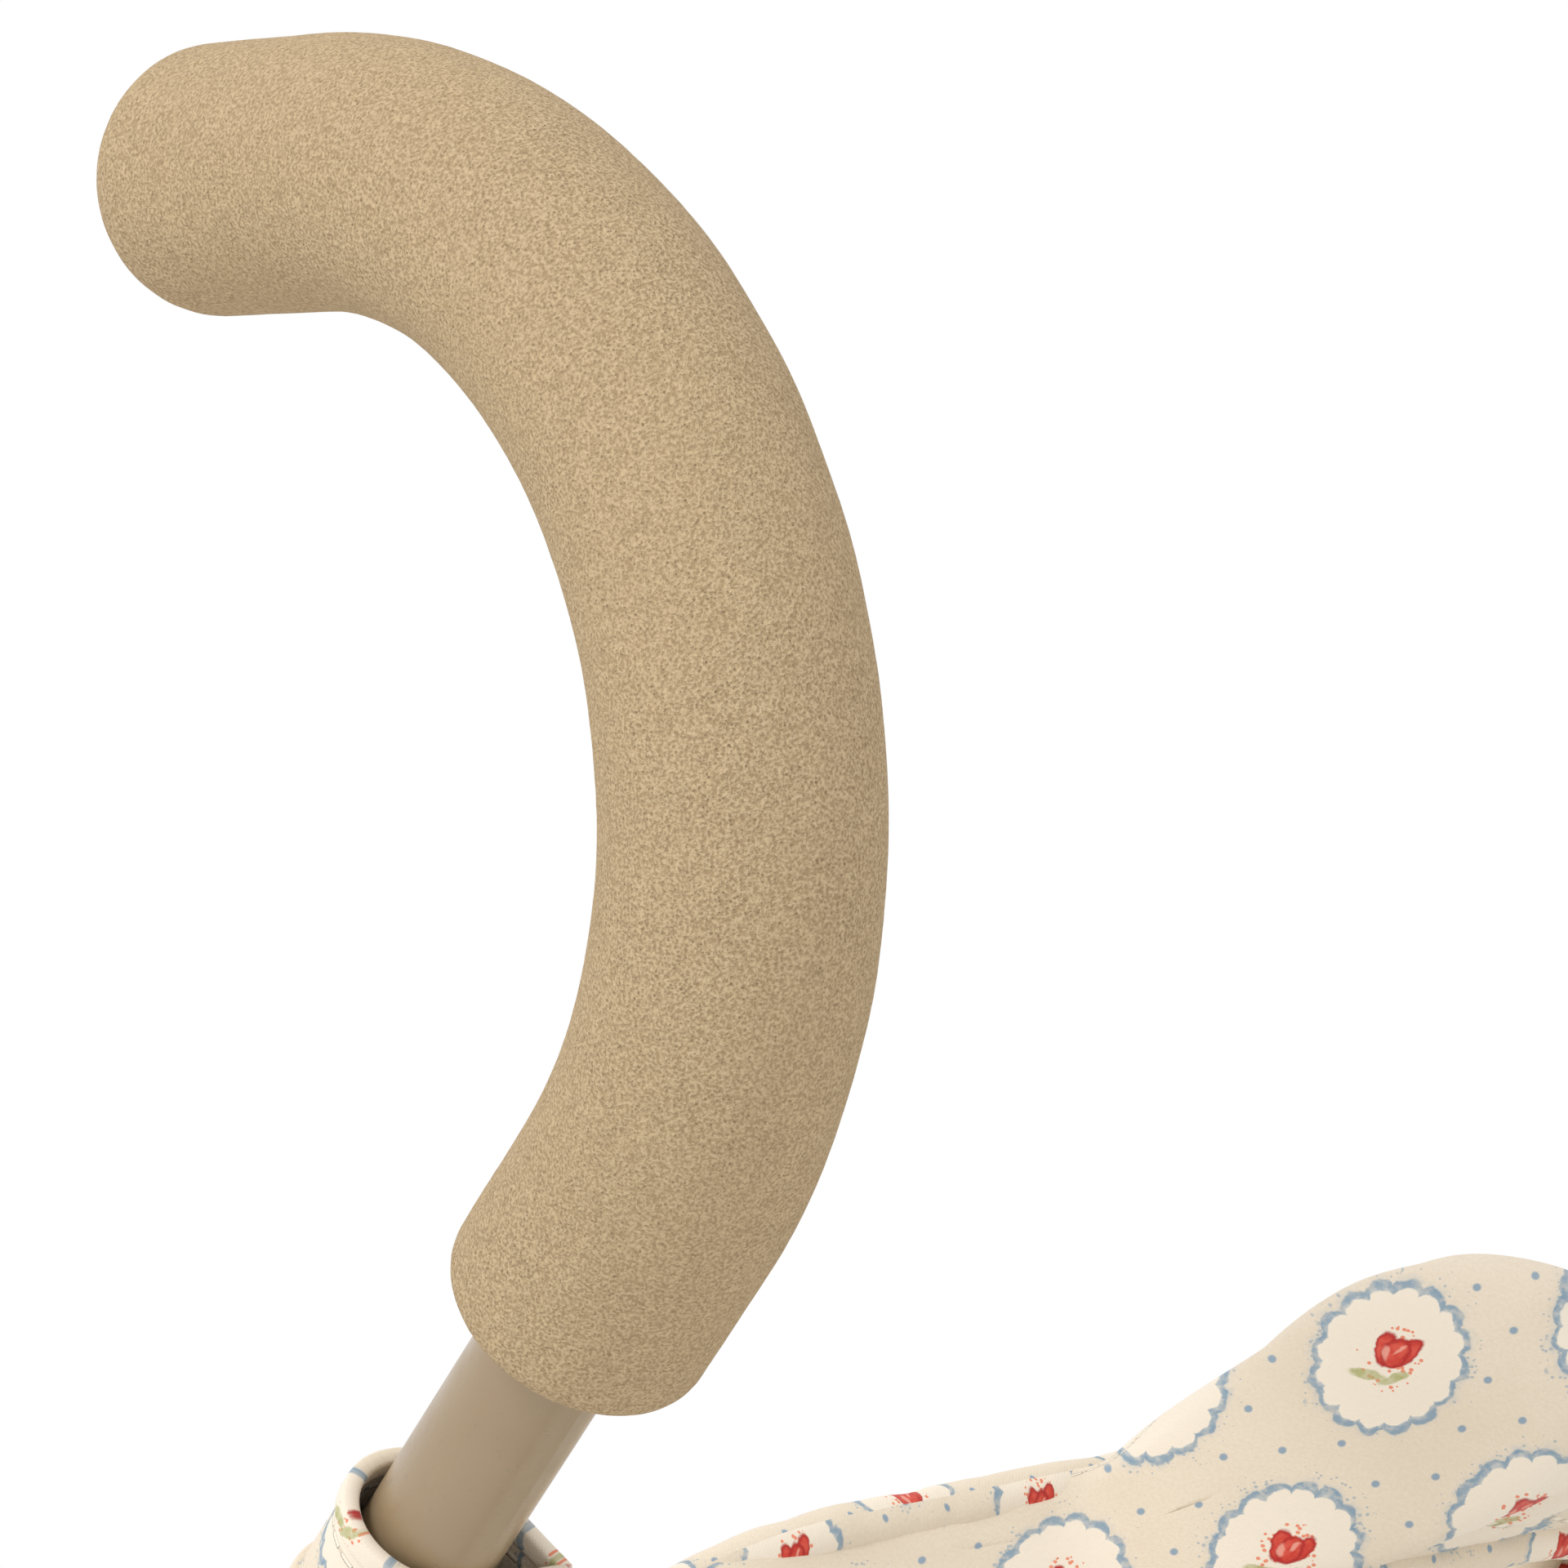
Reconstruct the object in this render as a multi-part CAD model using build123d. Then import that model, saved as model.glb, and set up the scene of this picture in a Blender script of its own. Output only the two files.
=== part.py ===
"""Doll's umbrella pushchair with crook handles, a cross brace, castors and a soft hood.

Frame: millimetres, +Z up, front -Y, the pushing person's left is +X, origin on the floor
under the middle. "Left" parts are built at +X and the right ones are their mirror images.
"""
from build123d import *
import math
import os

# Driving dimensions
PUSH_X = 125.0            # push tube axis from the middle
LEG_X = 108.0             # rear leg and seat rail axis from the middle
PUSH_R = 8.0              # push tube outside radius
LEG_R = 7.0
RAIL_R = 6.0
WALL = 1.0                # tube wall
LEAN = 49.3               # push tube above the horizontal, degrees
PUSH_FOOT = (-150.0, 88.0)    # (y, z) of the push tube's lower end
PUSH_STRAIGHT = 461.4
CROOK_R = 64.8            # centre line of the crook
CROOK_TURN = 136.0
CROOK_TIP = 24.0          # straight tube past the crook
GRIP_R = 15.35
GRIP_LOW = 20.5           # foam over the straight tube below the crook
GRIP_TIP = 28.5           # foam past the crook, closed at its end
LEG_FOOT = (148.0, 60.0)  # (y, z) where leg heights start
LEG_JOIN_Z = 372.0        # the leg's axis meets the push tube's here
LEG_START = 22.0          # leg tube starts this far up its axis
WHEEL_R = 38.0
WHEEL_Y = 150.0           # front axle at -y, rear axle at +y
WHEEL_WIDTH = 12.0
WHEEL_OFFSET = 12.0       # from the pair's middle to each wheel's middle
AXLE_R = 2.0
SWIVEL_Y = -163.0         # castor stem, ahead of its axle
STEM_R = 3.5
RUN = 0.05                # radial running clearance
BRACE_ANGLE = 38.0        # bars above the horizontal when open
BRACE_TOP = 294.0         # upper pivots, up the leg's axis
BAR_WIDTH = 12.0
BAR_T = 2.0
BAR_LAYER = {"b": 10.5, "a": 12.9}   # front face of each bar, behind the leg axis
PIN_R = 2.5
RAIL_START = 215.0        # seat rail's height on the rear leg
RAIL_FRONT = (-110.0, 232.0)
HOOD_Z = 318.0            # hood pivots, on the push tube
HOOD_ANGLE = 45.0         # folded-back hood, above the horizontal
BOW_SPREAD = 12.5         # each bow's angle from the hood's middle plane
BOW_X = 94.5
BOW_R = 1.5
BOW_REACH = 84.0          # top of each bow from the pivot axis
HOOD_REACH = 105.0        # middle of the bunched cotton above the bows
HOOD_BUNCH_R = 15.0
HUB_X = 96.5              # hood hub's middle
HUB_HALF = 5.0
HUB_PIN_R = 3.0
CLAMP_R = PUSH_R + 2.5    # outside of the mouldings that wrap the push tube
RIVET_INNER = PUSH_X + 5  # inner end of the bracket rivet, inside the tube
BLADE = 5.0               # half the thickness of the piece between two wheels
SOCKET_LOW = 83.0         # underside of the castor socket
FORK_TOP = SOCKET_LOW - 0.5
SEAT_REAR = (40.0, 212.0)     # (y, z) of the seat cotton's ends
SEAT_FRONT = (-104.0, 222.0)
BACK_LOW = (43.5, 216.5)
BACK_TOP = (101.0, 344.0)
STRAP_LOW = 381.8         # heights of the back strap's loop on the push tube
STRAP_HIGH = 395.5

os.makedirs("parts", exist_ok=True)


def side_dir(angle):
    """Unit (y, z) at an angle above +Y."""
    return math.cos(math.radians(angle)), math.sin(math.radians(angle))


def on_push(z):
    """The push tube axis's y at a height."""
    dy, dz = side_dir(LEAN)
    return PUSH_FOOT[0] + (z - PUSH_FOOT[1]) * dy / dz


PUSH_DIR = side_dir(LEAN)
CROOK_START = (PUSH_FOOT[0] + PUSH_STRAIGHT * PUSH_DIR[0], PUSH_FOOT[1] + PUSH_STRAIGHT * PUSH_DIR[1])
CROOK_C = (CROOK_START[0] - CROOK_R * PUSH_DIR[1], CROOK_START[1] + CROOK_R * PUSH_DIR[0])
JOIN = (on_push(LEG_JOIN_Z), LEG_JOIN_Z)
LEG_LENGTH = math.dist(LEG_FOOT, JOIN)
LEG_DIR = ((JOIN[0] - LEG_FOOT[0]) / LEG_LENGTH, (JOIN[1] - LEG_FOOT[1]) / LEG_LENGTH)
BAR_HALF = LEG_X / math.cos(math.radians(BRACE_ANGLE))
BRACE_LOW = BRACE_TOP - 2 * BAR_HALF * math.sin(math.radians(BRACE_ANGLE))
HOOD_PIVOT = (on_push(HOOD_Z), HOOD_Z)


def on_leg(along):
    """(y, z) at a distance up the leg's axis."""
    return LEG_FOOT[0] + along * LEG_DIR[0], LEG_FOOT[1] + along * LEG_DIR[1]


def on_rail(y):
    """(y, z) on the seat rail's axis."""
    return y, RAIL_START + (y - RAIL_BACK_Y) * RAIL_RISE


RAIL_BACK_Y = on_leg((RAIL_START - LEG_FOOT[1]) / LEG_DIR[1])[0]
RAIL_RISE = (RAIL_FRONT[1] - RAIL_START) / (RAIL_FRONT[0] - RAIL_BACK_Y)
# where the rail passes the push tube, from both straight lines
PUSH_RUN = PUSH_DIR[0] / PUSH_DIR[1]
CROSS_Y = ((PUSH_FOOT[0] + (RAIL_START - RAIL_RISE * RAIL_BACK_Y - PUSH_FOOT[1]) * PUSH_RUN)
           / (1 - RAIL_RISE * PUSH_RUN))
# the brace's own plane: local x across, local y up the legs, local z forwards
BRACE_PLANE = Plane(origin=(0, *LEG_FOOT), x_dir=(1, 0, 0), z_dir=(0, -LEG_DIR[1], LEG_DIR[0]))


def rod(start, end, radius):
    """A round bar between two (x, y, z) points."""
    a, b = Vector(*start), Vector(*end)
    plane = Plane(origin=a, z_dir=b - a)
    return extrude(plane * Circle(radius), (b - a).length)


def side_rod(x, start, end, radius):
    """A round bar in the side plane at x, between two (y, z) points."""
    return rod((x, *start), (x, *end), radius)


def cross_rod(x0, x1, at, radius):
    """A round bar along X at an (y, z) point."""
    return rod((x0, *at), (x1, *at), radius)


def shift(point, direction, distance):
    return point[0] + direction[0] * distance, point[1] + direction[1] * distance


def brace_rod(x, along, front, back, radius):
    """A pin square to the brace's plane; front and back are distances behind the leg axis."""
    at = BRACE_PLANE.offset(-front) * Pos(x, along, 0)
    return at * extrude(Circle(radius), -(back - front))


def brace_block(x, along, wide, high, front, back):
    at = BRACE_PLANE.offset(-front) * Pos(x, along, 0)
    return at * extrude(Rectangle(wide, high), -(back - front))


def mirrored(shape):
    return mirror(shape, about=Plane.YZ)


def save(name, *solids):
    """One node per file; a group of loose pieces stays a group of separate solids."""
    shape = solids[0] if len(solids) == 1 else Compound(children=list(solids))
    export_step(shape, f"parts/{name}.step")


# ---- push tube with its crook and foam grip ----

def crook_path(x, low, tip):
    """Straight, crook and tip; low is the length kept below the crook."""
    tip_dir = side_dir(LEAN + CROOK_TURN)
    start = shift(CROOK_START, PUSH_DIR, -low)
    arc = CenterArc((0, 0), CROOK_R, LEAN - 90, CROOK_TURN)
    side = Plane(origin=(x, *CROOK_C), x_dir=(0, 1, 0), z_dir=(1, 0, 0))
    arc = side.from_local_coords(arc)
    arc_end = arc @ 1
    end = (x, arc_end.Y + tip * tip_dir[0], arc_end.Z + tip * tip_dir[1])
    return Wire([Edge.make_line((x, *start), arc @ 0), arc, Edge.make_line(arc_end, end)])


def swept(path, radius):
    plane = Plane(origin=path @ 0, z_dir=path % 0)
    return sweep(plane * Circle(radius), path=path)


def push_tube():
    path = crook_path(PUSH_X, PUSH_STRAIGHT, CROOK_TIP)
    tube = swept(path, PUSH_R) - swept(path, PUSH_R - WALL)
    return tube - rail_bolt_hole() - bracket_rivet_hole()


def grip():
    path = crook_path(PUSH_X, GRIP_LOW, GRIP_TIP)
    sleeve = swept(path, GRIP_R)
    for end, radius in (path @ 1, 8.0), (path @ 0, 3.0):
        rims = sleeve.edges().filter_by(GeomType.CIRCLE)
        sleeve = fillet([e for e in rims if (e.arc_center - end).length < 0.1], radius)
    return sleeve - swept(crook_path(PUSH_X, GRIP_LOW + 5, CROOK_TIP + 1.5), PUSH_R)


def grip_plug():
    """Closes the tube's upper end inside the foam."""
    path = crook_path(PUSH_X, GRIP_LOW, CROOK_TIP)
    end, out = path @ 1, path % 1
    inside = rod(end - out * 12, end, PUSH_R - WALL)
    return inside + rod(end, end + out * 1.5, PUSH_R)


# ---- rear leg, its bracket and the seat rail ----

def rear_leg():
    tube = side_rod(LEG_X, on_leg(LEG_START), JOIN, LEG_R)
    return tube - side_rod(LEG_X, on_leg(LEG_START), JOIN, LEG_R - WALL)


def bracket_rivet_hole():
    return cross_rod(RIVET_INNER, PUSH_X + CLAMP_R + 5, JOIN, 2.0)


def leg_bracket(layer):
    """Moulded bracket: holds the push tube, caps the leg and carries the upper brace pivot."""
    cap = side_rod(LEG_X, on_leg(BRACE_TOP - 10), on_leg(LEG_LENGTH + 5), LEG_R + 2.5)
    clamp = side_rod(PUSH_X, shift(JOIN, PUSH_DIR, -17), shift(JOIN, PUSH_DIR, 12), CLAMP_R)
    boss = brace_block(LEG_X, BRACE_TOP, 15, 16, LEG_R + 0.5, BAR_LAYER[layer] - 0.2)
    body = cap + clamp + boss
    body -= side_rod(LEG_X, on_leg(BRACE_TOP - 20), JOIN, LEG_R)
    body -= side_rod(PUSH_X, shift(JOIN, PUSH_DIR, -30), shift(JOIN, PUSH_DIR, 30), PUSH_R)
    body -= brace_rod(LEG_X, BRACE_TOP, LEG_R - 1, BAR_LAYER[layer], PIN_R)
    return body - bracket_rivet_hole()


def brace_pin(x, along, layer, embedded):
    """Headed pin from a boss through one bar."""
    back = BAR_LAYER[layer] + BAR_T + 0.2
    return brace_rod(x, along, embedded, back, PIN_R) + brace_rod(x, along, back, back + 1.4, 4.5)


def rail_tube():
    start = shift((RAIL_BACK_Y, RAIL_START), (-1.0, 0.0), 9.0)
    return (LEG_X, *on_rail(start[0])), (LEG_X, *RAIL_FRONT)


def rail_bolt_hole():
    return cross_rod(LEG_X - RAIL_R - 1, PUSH_X + PUSH_R + 1, on_rail(CROSS_Y), 2.0)


def seat_rail():
    start, end = rail_tube()
    return rod(start, end, RAIL_R) - rod(start, end, RAIL_R - WALL) - rail_bolt_hole()


def rail_tee():
    """Socket that rides on the rear leg and holds the rail's back end."""
    middle = (RAIL_START - LEG_FOOT[1]) / LEG_DIR[1]
    sleeve = side_rod(LEG_X, on_leg(middle - 9), on_leg(middle + 9), LEG_R + 2.5)
    start, end = rail_tube()
    socket = rod((LEG_X, *on_leg(middle)), (LEG_X, *on_rail(RAIL_BACK_Y - 26)), RAIL_R + 2.2)
    body = sleeve + socket
    body -= side_rod(LEG_X, on_leg(middle - 20), on_leg(middle + 20), LEG_R)
    return body - rod(start, end, RAIL_R)


def rail_cap():
    """Plug and rim at the rail's open front end."""
    start, end = rail_tube()
    front = (Vector(*end) - Vector(*start)).normalized()
    end = Vector(*end)
    cap = rod(end, end + front * 4, RAIL_R + 0.6)
    cap = fillet(cap.edges().group_by(SortBy.LENGTH)[-1].sort_by(Axis.Y)[0], 2.0)
    return cap + rod(end - front * 10, end, RAIL_R - WALL)


def headed(x0, x1, at, radius, head_r, head_t):
    """A rivet along X between two seats, with a head at each end."""
    shank = cross_rod(x0, x1, at, radius)
    return shank + cross_rod(x0 - head_t, x0, at, head_r) + cross_rod(x1, x1 + head_t, at, head_r)


def frame_rivets(layer):
    """Rail bolt with its spacer, bracket rivet, hood screw and upper brace pin."""
    at = on_rail(CROSS_Y)
    bolt = headed(LEG_X - RAIL_R, PUSH_X + PUSH_R, at, 2.0, 4.0, 1.5)
    gap = cross_rod(LEG_X + RAIL_R, PUSH_X - PUSH_R, at, 5.0)
    spacer = gap - cross_rod(LEG_X, PUSH_X, at, 2.0)
    rivet_end = PUSH_X + CLAMP_R
    rivet = cross_rod(RIVET_INNER, rivet_end, JOIN, 2.0) + cross_rod(rivet_end, rivet_end + 1.5, JOIN, 3.5)
    screw = cross_rod(HUB_X - HUB_HALF - 2, HUB_X - HUB_HALF - 0.5, HOOD_PIVOT, 5.0)
    screw += cross_rod(HUB_X - HUB_HALF - 0.5, HUB_X + HUB_HALF, HOOD_PIVOT, 1.5)
    pin = brace_pin(LEG_X, BRACE_TOP, layer, LEG_R)
    return bolt, spacer, rivet, screw, pin


def slider(layer):
    """Collar that slides on the leg and carries a bar's lower end."""
    collar = side_rod(LEG_X, on_leg(BRACE_LOW - 10), on_leg(BRACE_LOW + 10), LEG_R + 3)
    collar += brace_block(LEG_X, BRACE_LOW, 15, 16, LEG_R + 0.8, BAR_LAYER[layer] - 0.2)
    collar -= side_rod(LEG_X, on_leg(BRACE_LOW - 20), on_leg(BRACE_LOW + 20), LEG_R + 0.3)
    return collar - brace_rod(LEG_X, BRACE_LOW, LEG_R + 1.2, BAR_LAYER[layer], PIN_R)


# ---- cross brace ----

def brace_bar(layer):
    """Flat bar with round ends, a close hole in the middle and pivot holes at the ends."""
    lean = -BRACE_ANGLE if layer == "a" else BRACE_ANGLE
    outline = SlotCenterToCenter(2 * BAR_HALF, BAR_WIDTH)
    outline -= Pos(-BAR_HALF, 0) * Circle(PIN_R + RUN)
    outline -= Pos(BAR_HALF, 0) * Circle(PIN_R + RUN)
    outline -= Circle(PIN_R if layer == "b" else PIN_R + RUN)
    centre = Pos(0, (BRACE_TOP + BRACE_LOW) / 2, 0) * Rot(0, 0, lean)
    bar = extrude(outline, -BAR_T)
    return BRACE_PLANE.offset(-BAR_LAYER[layer]) * centre * bar


def centre_rivet():
    middle = (BRACE_TOP + BRACE_LOW) / 2
    front, back = BAR_LAYER["b"], BAR_LAYER["a"] + BAR_T + 0.2
    rivet = brace_rod(0, middle, front - 1.2, front, 4.5) + brace_rod(0, middle, front, back, PIN_R)
    return rivet + brace_rod(0, middle, back, back + 1.2, 4.5)


# ---- wheels and castors ----

def across(x):
    """A plane square to X at x, with local x to the back and local y up."""
    return Plane(origin=(x, 0, 0), x_dir=(0, 1, 0), z_dir=(1, 0, 0))


def tyre(x, at):
    ring = across(x - WHEEL_WIDTH / 2) * Pos(*at) * extrude(Circle(WHEEL_R), WHEEL_WIDTH)
    ring = fillet(ring.edges().filter_by(GeomType.CIRCLE), 2.5)
    return ring - cross_rod(x - WHEEL_WIDTH, x + WHEEL_WIDTH, at, WHEEL_R - 5)


def rim(x, at, out):
    """Ring, web with six round openings, and a hub that is closed on its outer side."""
    half = WHEEL_WIDTH / 2 - 0.5
    ring_r = WHEEL_R - 5
    ring = cross_rod(x - half, x + half, at, ring_r) - cross_rod(x - half, x + half, at, ring_r - 3)
    web = cross_rod(x - 1.5, x + 1.5, at, ring_r - 3)
    for turn in range(6):
        dy, dz = side_dir(60 * turn + 30)
        web -= cross_rod(x - 3, x + 3, shift(at, (dy, dz), 19), 6.5)
    inner, outer = x - out * WHEEL_WIDTH / 2, x + out * (WHEEL_WIDTH / 2 + 2)
    hub = cross_rod(min(inner, outer), max(inner, outer), at, 7.0)
    hub_end = x + out * (WHEEL_WIDTH / 2 + 1)
    return ring + web + hub - cross_rod(min(inner, hub_end), max(inner, hub_end), at, AXLE_R)


def wheel_pair(name, x, y, flip):
    """Tyres, rims and the axle that they are pressed on."""
    at = (y, WHEEL_R)
    places = (x - WHEEL_OFFSET, -1), (x + WHEEL_OFFSET, 1)
    tyres = [tyre(px, at) for px, out in places]
    rims = [rim(px, at, out) for px, out in places]
    reach = WHEEL_OFFSET + WHEEL_WIDTH / 2 + 1
    axle = cross_rod(x - reach, x + reach, at, AXLE_R)
    for node, solids in ("tyres", tyres), ("rims", rims), ("axle", [axle]):
        solids = [mirrored(s) for s in solids] if flip else solids
        side = "right" if flip else "left"
        save(f"{name}_{node}_{side}", *solids)


def rear_housing():
    """Axle carrier below the leg: a spigot in the tube, a shoulder and a blade."""
    seat = on_leg(LEG_START)
    body = side_rod(LEG_X, on_leg(LEG_START - 4), seat, LEG_R + 1.5)
    body += side_rod(LEG_X, seat, on_leg(LEG_START + 18), LEG_R - WALL)
    top = on_leg(LEG_START - 3)
    outline = make_hull((Pos(WHEEL_Y, WHEEL_R) * Circle(8)).edges()
                        + (Pos(*top) * Rectangle(12, 2)).edges())
    body += across(LEG_X - BLADE) * extrude(outline, 2 * BLADE)
    return body - cross_rod(LEG_X - 20, LEG_X + 20, (WHEEL_Y, WHEEL_R), AXLE_R + RUN)


def castor_socket():
    """Holds the push tube's lower end and the castor's upright stem."""
    stem = (PUSH_X, SWIVEL_Y)
    upright = rod((*stem, SOCKET_LOW), (*stem, 112.0), 10.5)
    sleeve = side_rod(PUSH_X, shift(PUSH_FOOT, PUSH_DIR, -4), shift(PUSH_FOOT, PUSH_DIR, 34), CLAMP_R)
    below = Pos(PUSH_X, PUSH_FOOT[0], SOCKET_LOW - 50) * Box(100, 200, 100)
    body = upright + sleeve - below
    body -= side_rod(PUSH_X, PUSH_FOOT, shift(PUSH_FOOT, PUSH_DIR, 60), PUSH_R)
    return body - rod((*stem, SOCKET_LOW - 1), (*stem, 108.0), STEM_R + RUN)


def castor_fork():
    """Blade between the twin wheels with a round head under the socket."""
    low, high = WHEEL_R + 30, FORK_TOP - 4
    outline = make_hull((Pos(-WHEEL_Y, WHEEL_R) * Circle(8)).edges()
                        + (Pos(SWIVEL_Y, (low + high) / 2) * Rectangle(18, high - low)).edges())
    body = across(PUSH_X - BLADE) * extrude(outline, 2 * BLADE)
    body += rod((PUSH_X, SWIVEL_Y, high), (PUSH_X, SWIVEL_Y, FORK_TOP), 10.5)
    body -= rod((PUSH_X, SWIVEL_Y, low + 2), (PUSH_X, SWIVEL_Y, FORK_TOP + 1), STEM_R)
    return body - cross_rod(PUSH_X - 20, PUSH_X + 20, (-WHEEL_Y, WHEEL_R), AXLE_R + RUN)


def castor_pin():
    return rod((PUSH_X, SWIVEL_Y, WHEEL_R + 32), (PUSH_X, SWIVEL_Y, 107.0), STEM_R)


# ---- hood ----

def hood_clip():
    """Ring on the push tube with an inward pin for the hood's hub."""
    ring = side_rod(PUSH_X, shift(HOOD_PIVOT, PUSH_DIR, -7), shift(HOOD_PIVOT, PUSH_DIR, 7), CLAMP_R)
    collar = cross_rod(HUB_X + HUB_HALF + 0.3, PUSH_X, HOOD_PIVOT, 6.0)
    pin = cross_rod(HUB_X - HUB_HALF - 0.4, PUSH_X, HOOD_PIVOT, HUB_PIN_R)
    body = ring + collar + pin
    body -= side_rod(PUSH_X, shift(HOOD_PIVOT, PUSH_DIR, -20), shift(HOOD_PIVOT, PUSH_DIR, 20), PUSH_R)
    return body - cross_rod(HUB_X - HUB_HALF - 1, HUB_X + HUB_HALF, HOOD_PIVOT, 1.5)


def hood_plane(angle):
    """Through the hood's pivot axis: local x across, local y out at an angle above +Y."""
    dy, dz = side_dir(angle)
    return Plane(origin=(0, *HOOD_PIVOT), x_dir=(1, 0, 0), z_dir=(0, -dz, dy))


def arch_path(angle, half_width, start, top, corner):
    """A flat-topped arch in a plane through the pivot axis."""
    corners = [(half_width, start), (half_width, top), (-half_width, top), (-half_width, start)]
    line = FilletPolyline(*corners, radius=corner)
    return hood_plane(angle).from_local_coords(Wire(line.edges()))


BOW_ANGLES = HOOD_ANGLE - BOW_SPREAD, HOOD_ANGLE + BOW_SPREAD


def hood_bow(angle):
    return swept(arch_path(angle, BOW_X, 12.0, BOW_REACH, 45.0), BOW_R)


def hood_hub(clearance):
    """Disc that turns on the clip's pin, with a socket for each bow."""
    body = cross_rod(HUB_X - HUB_HALF, HUB_X + HUB_HALF, HOOD_PIVOT, 9.0)
    for angle in BOW_ANGLES:
        spoke = side_dir(angle)
        body += side_rod(BOW_X, HOOD_PIVOT, shift(HOOD_PIVOT, spoke, 21), 3.0)
    body -= cross_rod(HUB_X - 10, HUB_X + 10, HOOD_PIVOT, HUB_PIN_R + RUN)
    for angle in BOW_ANGLES:
        spoke = side_dir(angle)
        start = shift(HOOD_PIVOT, spoke, 12 - clearance)
        body -= side_rod(BOW_X, start, shift(HOOD_PIVOT, spoke, 30), BOW_R + clearance)
    return body


def hood():
    """Cotton of the folded-back hood, bunched between its two bows."""
    return swept(arch_path(HOOD_ANGLE, 60.0, 50.0, HOOD_REACH, 35.0), HOOD_BUNCH_R)


# ---- seat and straps ----

def panel(corners, half_width):
    """A flat soft piece from its (y, z) side outline."""
    outline = make_face(Polyline(*corners, close=True))
    return across(-half_width) * extrude(outline, 2 * half_width)


def ribbon(start, end, half_width, thickness):
    """A flat panel whose side view is a bar from start to end."""
    dy, dz = end[0] - start[0], end[1] - start[1]
    length = math.hypot(dy, dz)
    side = (-dz / length * thickness / 2, dy / length * thickness / 2)
    corners = [(start[0] + side[0], start[1] + side[1]), (end[0] + side[0], end[1] + side[1]),
               (end[0] - side[0], end[1] - side[1]), (start[0] - side[0], start[1] - side[1])]
    return panel(corners, half_width)


def back_strap():
    """Cotton loop round the push tube that holds up the back rest's corner."""
    at_low, at_high = (on_push(STRAP_LOW), STRAP_LOW), (on_push(STRAP_HIGH), STRAP_HIGH)
    ring = side_rod(PUSH_X, at_low, at_high, PUSH_R + 1.8)
    middle = (STRAP_LOW + STRAP_HIGH) / 2
    tongue = rod((PUSH_X - 4, on_push(middle), middle), (101.0, BACK_TOP[0] + 9.0, BACK_TOP[1] + 22.0), 3.0)
    body = ring + tongue
    return body - side_rod(PUSH_X, shift(at_low, PUSH_DIR, -5), shift(at_high, PUSH_DIR, 5), PUSH_R)


def foot_strap():
    return ribbon((on_push(119.0), 119.0), (on_push(144.0), 144.0), PUSH_X - PUSH_R - 1, 2.5)


def lap_belt():
    """Slack strap across the seat, just above the cotton."""
    return ribbon((-2.0, 220.8), (16.0, 219.5), 88.0, 1.6)


def both_sides(name, left, right=None):
    save(f"{name}_left", left)
    save(f"{name}_right", mirrored(left if right is None else right))


def build():
    both_sides("push_tube", push_tube())
    both_sides("grip", grip())
    both_sides("grip_plug", grip_plug())
    both_sides("rear_leg", rear_leg())
    both_sides("leg_bracket", leg_bracket("b"), leg_bracket("a"))
    both_sides("seat_rail", seat_rail())
    both_sides("rail_tee", rail_tee())
    both_sides("rail_cap", rail_cap())
    save("frame_rivets_left", *frame_rivets("b"))
    save("frame_rivets_right", *[mirrored(s) for s in frame_rivets("a")])
    both_sides("slider", slider("a"), slider("b"))
    both_sides("slider_pin", brace_pin(LEG_X, BRACE_LOW, "a", LEG_R + 1.2),
               brace_pin(LEG_X, BRACE_LOW, "b", LEG_R + 1.2))
    save("brace_bar_a", brace_bar("a"))
    save("brace_bar_b", brace_bar("b"))
    save("brace_rivet", centre_rivet())
    both_sides("rear_housing", rear_housing())
    both_sides("castor_socket", castor_socket())
    both_sides("castor_fork", castor_fork())
    both_sides("castor_pin", castor_pin())
    for flip in (False, True):
        wheel_pair("front", PUSH_X, -WHEEL_Y, flip)
        wheel_pair("rear", LEG_X, WHEEL_Y, flip)
    both_sides("hood_clip", hood_clip())
    both_sides("hood_hub", hood_hub(0.0), hood_hub(0.3))
    save("rear_bow", hood_bow(BOW_ANGLES[0]))
    save("front_bow", hood_bow(BOW_ANGLES[1]))
    save("hood", hood())
    save("seat_base", ribbon(SEAT_FRONT, SEAT_REAR, 99.0, 5.0))
    save("seat_back", ribbon(BACK_LOW, BACK_TOP, 94.0, 5.0))
    both_sides("back_strap", back_strap())
    save("foot_strap", foot_strap())
    save("lap_belt", lap_belt())


build()
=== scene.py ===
import math

import bmesh
import bpy
from mathutils import Matrix, Vector, noise


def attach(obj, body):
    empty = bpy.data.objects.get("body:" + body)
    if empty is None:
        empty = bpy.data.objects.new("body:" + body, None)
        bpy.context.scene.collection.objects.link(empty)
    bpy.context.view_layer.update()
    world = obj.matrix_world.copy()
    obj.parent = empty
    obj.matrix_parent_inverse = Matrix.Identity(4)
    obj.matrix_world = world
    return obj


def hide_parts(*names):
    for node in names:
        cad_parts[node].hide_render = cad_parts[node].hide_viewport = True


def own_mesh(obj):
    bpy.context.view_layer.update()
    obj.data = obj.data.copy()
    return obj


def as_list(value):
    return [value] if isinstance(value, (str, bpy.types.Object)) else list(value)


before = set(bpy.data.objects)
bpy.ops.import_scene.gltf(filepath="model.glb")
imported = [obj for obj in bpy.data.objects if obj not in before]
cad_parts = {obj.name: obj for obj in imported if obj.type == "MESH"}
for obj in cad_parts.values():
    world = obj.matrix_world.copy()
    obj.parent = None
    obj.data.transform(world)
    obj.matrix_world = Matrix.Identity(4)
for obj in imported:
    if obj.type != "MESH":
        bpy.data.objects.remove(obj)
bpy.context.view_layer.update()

MM = 0.001
scene = bpy.context.scene

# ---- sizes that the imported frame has, in metres ----

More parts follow.
